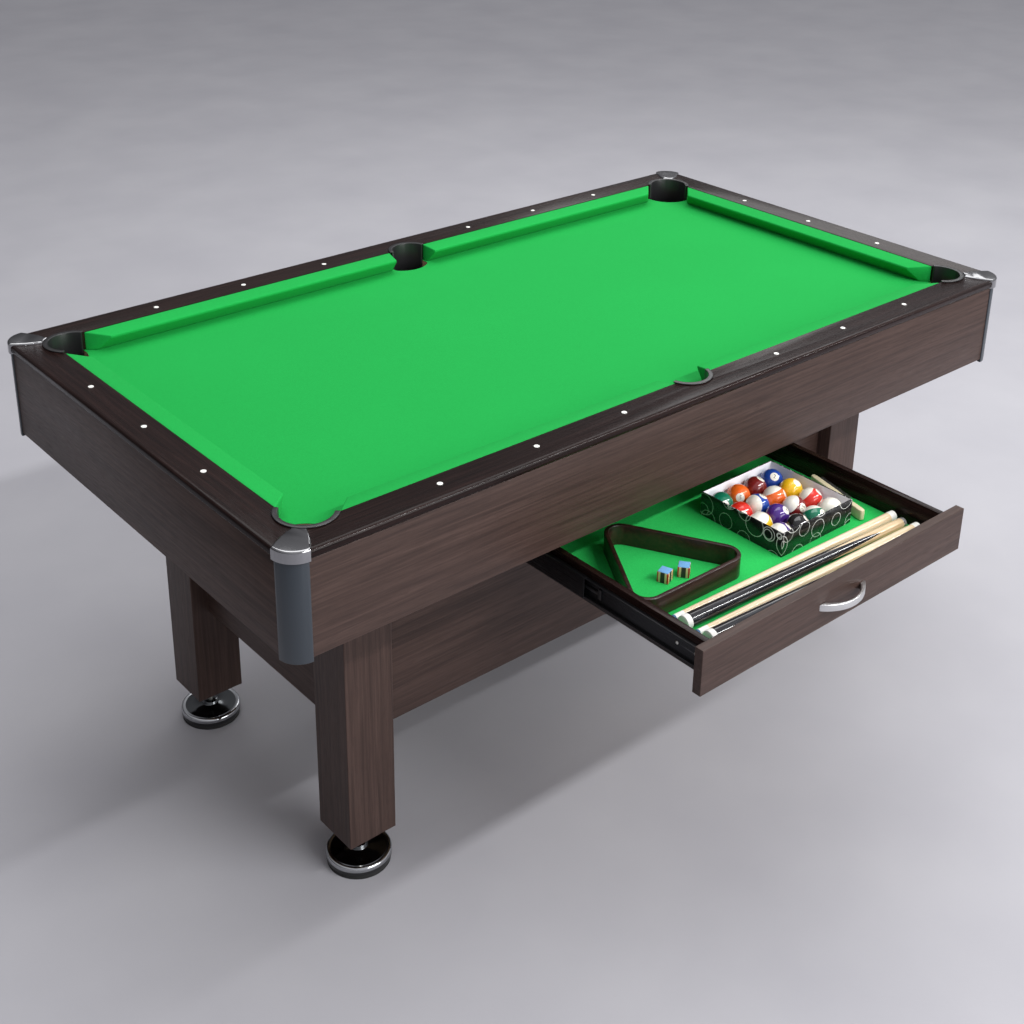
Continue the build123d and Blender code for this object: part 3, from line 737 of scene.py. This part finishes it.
def cue_piece(name, start, from_left, profile, material):
    """One turned piece of a cue half, its own Z running from the half's thick end."""
    along = Vector((math.cos(CUE_TURN), math.sin(CUE_TURN), 0.0))
    base = Vector((CUE_LEFT, start + TABLE_Y, 0.0))
    heading = along
    thick, thin = BUTT_R, JOINT_R
    if not from_left:
        base += along * CUE_LEN
        heading = -along
        thick, thin = JOINT_R, TIP_R
    axis = Vector((heading.x, heading.y, (thin - thick) / CUE_LEN)).normalized()
    base.z = FELT_TOP + thick + 0.0001
    obj = add_piece(name, revolve(profile, 40), material, "drawer")
    obj.matrix_world = Matrix.Translation(base) @ axis.to_track_quat("Z", "Y").to_matrix().to_4x4()
    split_sharp(obj)
    return obj


def taper(thick, thin, at):
    return thick + (thin - thick) * at / CUE_LEN


def cue_shaft(number, start):
    """A maple shaft with its white joint collar, ferrule and leather tip."""
    profile = [(0.0001, 0.004), (JOINT_R - 0.0006, 0.004), (JOINT_R, 0.0046)]
    profile += [(taper(JOINT_R, TIP_R, at), at) for at in (0.10, 0.25, 0.40, FERRULE_AT)]
    shaft = cue_piece(f"cue_shaft_{number}", start, False, profile, maple)
    collar = [(JOINT_R - 0.0004, 0.0), (JOINT_R + 0.0001, 0.0006)]
    collar += [(JOINT_R, 0.016), (JOINT_R - 0.001, 0.016)]
    cue_piece(f"cue_collar_{number}", start, False, collar, ferrule)
    end_r = taper(JOINT_R, TIP_R, FERRULE_AT)
    cap = [(end_r, FERRULE_AT), (end_r - 0.0001, FERRULE_END), (end_r - 0.0004, FERRULE_END + 0.0005)]
    cue_piece(f"cue_ferrule_{number}", start, False, cap, ferrule)
    nib = [(end_r - 0.0002, FERRULE_END), (end_r - 0.0002, 0.580), (end_r - 0.003, 0.5825), (0.0002, 0.583)]
    cue_piece(f"cue_tip_{number}", start, False, nib, tip_leather)
    return shaft


def cue_butt(number, start):
    """A black butt with its rubber bumper and joint ring."""
    profile = [(BUTT_R - 0.0002, BUMPER_LEN)]
    profile += [(taper(BUTT_R, JOINT_R, at), at) for at in (0.05, 0.2, 0.35, 0.5, RING_AT)]
    butt = cue_piece(f"cue_butt_{number}", start, True, profile, black_butt)
    bump_end = [(BUTT_R - 0.003, 0.0), (BUTT_R - 0.0008, 0.001), (BUTT_R, 0.003)]
    bump_end += [(BUTT_R - 0.0001, BUMPER_LEN)]
    cue_piece(f"cue_bumper_{number}", start, True, bump_end, bumper)
    joint_r = taper(BUTT_R, JOINT_R, RING_AT)
    ring = [(joint_r + 0.0001, 0.570), (joint_r + 0.0001, 0.5775), (joint_r - 0.001, 0.578)]
    cue_piece(f"cue_ring_{number}", start, True, ring, satin)
    return butt


shafts = [cue_shaft(i, start) for i, start in enumerate(SHAFT_STARTS)]
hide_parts("cue_shafts")
butts = [cue_butt(i, start) for i, start in enumerate(BUTT_STARTS)]
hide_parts("cue_butts")


# ---------------------------------------------------------------- feet
foot_dark = metal("foot_top", (0.10, 0.105, 0.11), 0.10, 0.000004)
foot_black = plastic("foot_black", (0.010, 0.010, 0.011), 0.16, 0.000006)
THREAD_R = 0.0059
THREAD_ROOT = 0.0052
THREAD_PITCH = 0.0015
THREAD_START = 0.036
THREAD_TURNS = 50
THREAD_END = 0.1118
FOOT_SHARP = math.radians(50)


def foot_piece(name, corner, profile, material, centre, steps=96):
    body = f"leveller_{corner}"
    piece = add_piece(f"{name}_{corner}", revolve(profile, steps), material, body)
    place(piece, centre)
    return piece


def dress_foot(corner):
    """A levelling foot: black skirt, chrome rim, dark polished plate and threaded stem."""
    low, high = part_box(f"foot_{corner}")
    centre = Vector(((low[0] + high[0]) / 2, (low[1] + high[1]) / 2, 0.0))
    radius = (high[0] - low[0]) / 2
    skirt = [(radius - 0.003, 0.008), (radius - 0.0004, 0.0095)]
    skirt += [(radius - 0.0004, 0.0162), (radius - 0.003, 0.0164)]
    split_sharp(foot_piece("foot_skirt", corner, skirt, foot_black, centre), FOOT_SHARP)
    rim = [(radius - 0.003, 0.0160), (radius - 0.0004, 0.0162), (radius, 0.0168), (radius, 0.0215)]
    rim += [(radius - 0.0008, 0.0243), (radius - 0.003, 0.0262)]
    rim += [(radius - 0.006, 0.0266), (radius - 0.0075, 0.0258)]
    dish = foot_piece("foot_rim", corner, rim, chrome, centre)
    split_sharp(dish, FOOT_SHARP)
    top = [(0.0002, 0.0090), (radius - 0.0072, 0.0090), (radius - 0.0074, 0.0256)]
    top += [(0.040, 0.0272), (0.018, 0.0280), (0.016, 0.0300)]
    top += [(0.0150, 0.0345), (0.0135, 0.0359), (0.0062, 0.0360)]
    split_sharp(foot_piece("foot_plate", corner, top, foot_dark, centre), FOOT_SHARP)
    thread = [(THREAD_ROOT, 0.034)]
    for i in range(THREAD_TURNS):
        base = THREAD_START + THREAD_PITCH * i
        thread += [(THREAD_ROOT, base), (THREAD_R, base + THREAD_PITCH / 2)]
    thread += [(THREAD_ROOT, THREAD_END)]
    foot_piece("foot_stem", corner, thread, zinc, centre, 40)
    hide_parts(f"foot_{corner}")
    finish_node(f"foot_pad_{corner}", rubber, 0.0012)


for corner in CORNER_NAMES:
    dress_foot(corner)


# ---------------------------------------------------------------- screws
SCREW_R = 0.0036
SCREW_FACE_X = 0.3312
SCREW_STEPS = (0.0, 0.042, 0.280, 0.312, 0.480)
screw_low, screw_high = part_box("slide_screws")
screw_z = (screw_low[2] + screw_high[2]) / 2
screw_head = [(0.0030, 0.0), (SCREW_R, 0.0002), (0.0035, 0.0009), (0.0024, 0.0015), (0.0010, 0.0016)]
screws = []
for side in (-1, 1):
    for step in SCREW_STEPS:
        name = f"slide_screw_{len(screws)}"
        screw = add_piece(name, revolve(screw_head, 28), zinc, "drawer")
        at = Vector((side * SCREW_FACE_X, screw_low[1] + SCREW_R + step, screw_z))
        screw.matrix_world = Matrix.Translation(at) @ Matrix.Rotation(side * math.pi / 2, 4, "Y")
        screws.append(screw)
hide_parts("slide_screws")


# ---------------------------------------------------------------- floor, light and camera
FLOOR_DARK = (0.370, 0.365, 0.395)
FLOOR_PALE = (0.410, 0.405, 0.432)


def studio_floor():
    """A wide, pale grey floor with faint cloudiness."""
    look = Look("studio_floor", 0.85)
    tone = look.noise(2.5, 4.0)
    look.link(look.ramp(tone, [(0.3, FLOOR_DARK), (0.7, FLOOR_PALE)]), "Base Color")
    look.bump(look.noise(160.0, 3.0), 0.0001)
    mesh = bpy.data.meshes.new("floor")
    made = bmesh.new()
    bmesh.ops.create_grid(made, x_segments=4, y_segments=4, size=30.0)
    made.to_mesh(mesh)
    made.free()
    mesh.materials.append(look.material)
    floor = bpy.data.objects.new("floor", mesh)
    bpy.context.scene.collection.objects.link(floor)


studio_floor()


def area_light(name, where, target, size, energy):
    data = bpy.data.lights.new(name, "AREA")
    data.shape = "RECTANGLE"
    data.size, data.size_y = size
    data.energy = energy
    lamp = bpy.data.objects.new(name, data)
    bpy.context.scene.collection.objects.link(lamp)
    lamp.location = where
    lamp.rotation_euler = (Vector(target) - Vector(where)).to_track_quat("-Z", "Y").to_euler()


area_light("key", (0.6, 1.0, 4.6), (0, 0.1, 0.6), (4.0, 4.0), 125.0)
area_light("front", (0.6, -4.6, 2.0), (0.1, 0, 0.5), (3.6, 2.2), 118.0)
area_light("strip", (4.0, -4.4, 5.05), (4.0, -0.35, 0.85), (9.0, 0.22), 450.0)
area_light("rim", (3.4, 1.9, 3.2), (0, 0.2, 0.8), (2.4, 1.6), 30.0)


def studio_sky():
    """Grey surroundings, brighter overhead and on the drawer's side."""
    world = bpy.data.worlds.new("studio")
    bpy.context.scene.world = world
    world.use_nodes = True
    tree = world.node_tree
    backdrop = tree.nodes["Background"]
    backdrop.inputs["Strength"].default_value = 0.78
    direction = tree.nodes.new("ShaderNodeTexCoord")
    toward = tree.nodes.new("ShaderNodeVectorMath")
    toward.operation = "DOT_PRODUCT"
    toward.inputs[1].default_value = (0.15, -0.40, 0.60)
    lifted = tree.nodes.new("ShaderNodeMath")
    lifted.operation = "ADD"
    lifted.inputs[1].default_value = 0.25
    shade = tree.nodes.new("ShaderNodeValToRGB")
    shade.color_ramp.elements[0].position = 0.10
    shade.color_ramp.elements[0].color = (0.14, 0.14, 0.15, 1.0)
    shade.color_ramp.elements[1].position = 0.85
    shade.color_ramp.elements[1].color = (0.82, 0.82, 0.85, 1.0)
    tree.links.new(direction.outputs["Generated"], toward.inputs[0])
    tree.links.new(toward.outputs["Value"], lifted.inputs[0])
    tree.links.new(lifted.outputs["Value"], shade.inputs["Fac"])
    tree.links.new(shade.outputs["Color"], backdrop.inputs["Color"])


studio_sky()

VIEW_FROM = (-1.866, -1.941, 2.010)
VIEW_TURN = 40.53
VIEW_DOWN = 22.1
VIEW_ROLL = 0.80
camera_data = bpy.data.cameras.new("camera")
camera = bpy.data.objects.new("camera", camera_data)
bpy.context.scene.collection.objects.link(camera)
bpy.context.scene.camera = camera
camera_data.sensor_width = 36.0
camera_data.lens = 51.4
camera_data.shift_y = -0.20
aim = Matrix.Rotation(math.radians(-VIEW_TURN), 4, "Z")
aim = aim @ Matrix.Rotation(math.radians(90.0 - VIEW_DOWN), 4, "X")
aim = aim @ Matrix.Rotation(math.radians(VIEW_ROLL), 4, "Z")
camera.matrix_world = Matrix.Translation(VIEW_FROM) @ aim
bpy.context.scene.view_settings.view_transform = "Standard"
